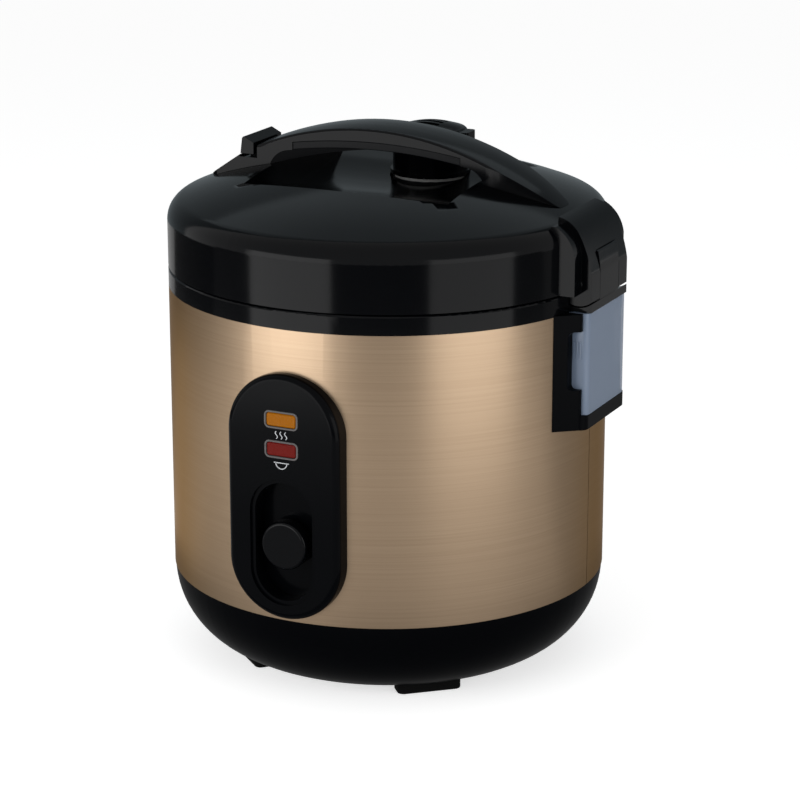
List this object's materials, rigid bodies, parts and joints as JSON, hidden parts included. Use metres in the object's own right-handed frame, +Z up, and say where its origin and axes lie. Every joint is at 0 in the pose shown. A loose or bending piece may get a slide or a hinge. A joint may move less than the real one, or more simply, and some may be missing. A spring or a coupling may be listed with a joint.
{
  "type": "rice cooker",
  "caption": "Jar rice cooker: round brushed shell on a bowl-shaped base, hinged domed lid with arched handle and steam vent, press-down cook knob and a side cup for dew.",
  "frame": {"origin": "on the body's upright axis, at the plane of the counter under the feet", "axes": "+Z up, -Y towards the control panel, +X towards the lid's hinge and the dew collector"},
  "size_m": [0.2392, 0.2404, 0.2832],
  "materials": {
    "gold_shell": "champagne gold, brushed round the body",
    "black_gloss": "glossy black moulding",
    "black_matte": "fine satin black moulding",
    "rubber_foot": "matte black",
    "silicone": "soft grey",
    "clear_cup": "clear with a blue cast",
    "lens_amber": "translucent amber",
    "lens_red": "translucent red",
    "pale_trim": "smooth pale grey",
    "pot_coat": "drawn aluminium, satin",
    "plate_alu": "satin",
    "sheet_steel": "plain sheet",
    "bright_steel": "bright",
    "magnet_iron": "dark and plain",
    "brass_contact": "plain",
    "lamp_glass": "clear",
    "switch_plastic": "plain"
  },
  "bodies": {
    "body": {"base_housing": "black_gloss", "feet": "rubber_foot", "bottom_cover": "sheet_steel", "cover_screws": "bright_steel", "outer_shell": "gold_shell", "upper_rim": "black_gloss", "latch_catch": "sheet_steel", "drain_spout": "black_matte", "inner_pot": "pot_coat", "pot_bend": "pot_coat", "pot_base": "pot_coat", "inner_liner": "sheet_steel", "heat_plate": "plate_alu", "heater_terminals": "brass_contact", "plate_stands": "bright_steel", "keep_warm_band": "sheet_steel", "thermal_fuse": "switch_plastic", "thermostat_sleeve": "sheet_steel", "thermostat_spring": "bright_steel", "rocker_bracket": "sheet_steel", "rocker_pin": "bright_steel", "microswitch": "switch_plastic", "control_panel": "black_gloss", "lamp_bezels": "pale_trim", "warm_lens": "lens_amber", "cook_lens": "lens_red", "neon_lamps": "lamp_glass", "lamp_holder": "switch_plastic", "panel_screws": "bright_steel", "power_inlet": "black_matte", "inlet_blades": "brass_contact", "collector_cradle": "black_gloss", "hinge_post": "black_gloss", "hinge_pin": "bright_steel", "hinge_spring": "bright_steel"},
    "lid": {"lid_shell": "black_gloss", "lid_lower_cover": "black_matte", "lid_gasket": "silicone", "inner_lid_plate": "plate_alu", "plate_grommet": "silicone", "handle_top": "black_gloss", "grip_insert": "black_matte", "handle_screws": "bright_steel", "latch_pin": "bright_steel", "latch_spring": "bright_steel", "vent_seat": "black_matte", "vent_seal_ring": "silicone"},
    "latch": {"latch_lever": "black_gloss"},
    "vent_cap": {"vent_cap": "black_gloss"},
    "cook_knob": {"cook_knob": "black_gloss"},
    "rocker": {"rocker": "sheet_steel"},
    "magnet_rod": {"magnet_rod": "magnet_iron"},
    "sensor": {"sensor_cap": "plate_alu", "ferrite_block": "magnet_iron"},
    "dew_collector": {"dew_collector": "clear_cup"}
  },
  "joints": [
    {"name": "lid_hinge", "type": "hinge", "parent": "body", "child": "lid", "pos_m": [0.117, 0, 0.216], "axis": [0, 1, 0], "range_deg": [0, 90]},
    {"name": "latch_press", "type": "hinge", "parent": "lid", "child": "latch", "pos_m": [-0.0935, 0, 0.242], "axis": [0, 1, 0], "range_deg": [0, 3], "stiffness_Nm_per_rad": 0.2, "springref_deg": -6.88},
    {"name": "vent_lift", "type": "slide", "parent": "lid", "child": "vent_cap", "axis": [0, 0, 1], "range_m": [0, 0.03]},
    {"name": "cook_press", "type": "slide", "parent": "body", "child": "cook_knob", "axis": [0, 0, -1], "range_m": [0, 0.008], "stiffness_N_per_m": 60, "springref_m": -0.02},
    {"name": "rocker_tip", "type": "hinge", "parent": "body", "child": "rocker", "pos_m": [0, -0.034, 0.0475], "axis": [1, 0, 0], "range_deg": [0, 6.8]},
    {"name": "magnet_lift", "type": "slide", "parent": "body", "child": "magnet_rod", "axis": [0, 0, 1], "range_m": [0, 0.0041]},
    {"name": "sensor_press", "type": "slide", "parent": "body", "child": "sensor", "axis": [0, 0, -1], "range_m": [0, 0.002], "stiffness_N_per_m": 600, "springref_m": -0.003, "deforming": ["thermostat_spring"]},
    {"name": "cup_pull", "type": "slide", "parent": "body", "child": "dew_collector", "axis": [1, 0, 0], "range_m": [0, 0.045]}
  ],
  "couplings": [
    {"joint": "rocker_tip", "follows": "cook_press", "rad_per_m": 14.706},
    {"joint": "magnet_lift", "follows": "cook_press", "ratio": 0.5}
  ]
}
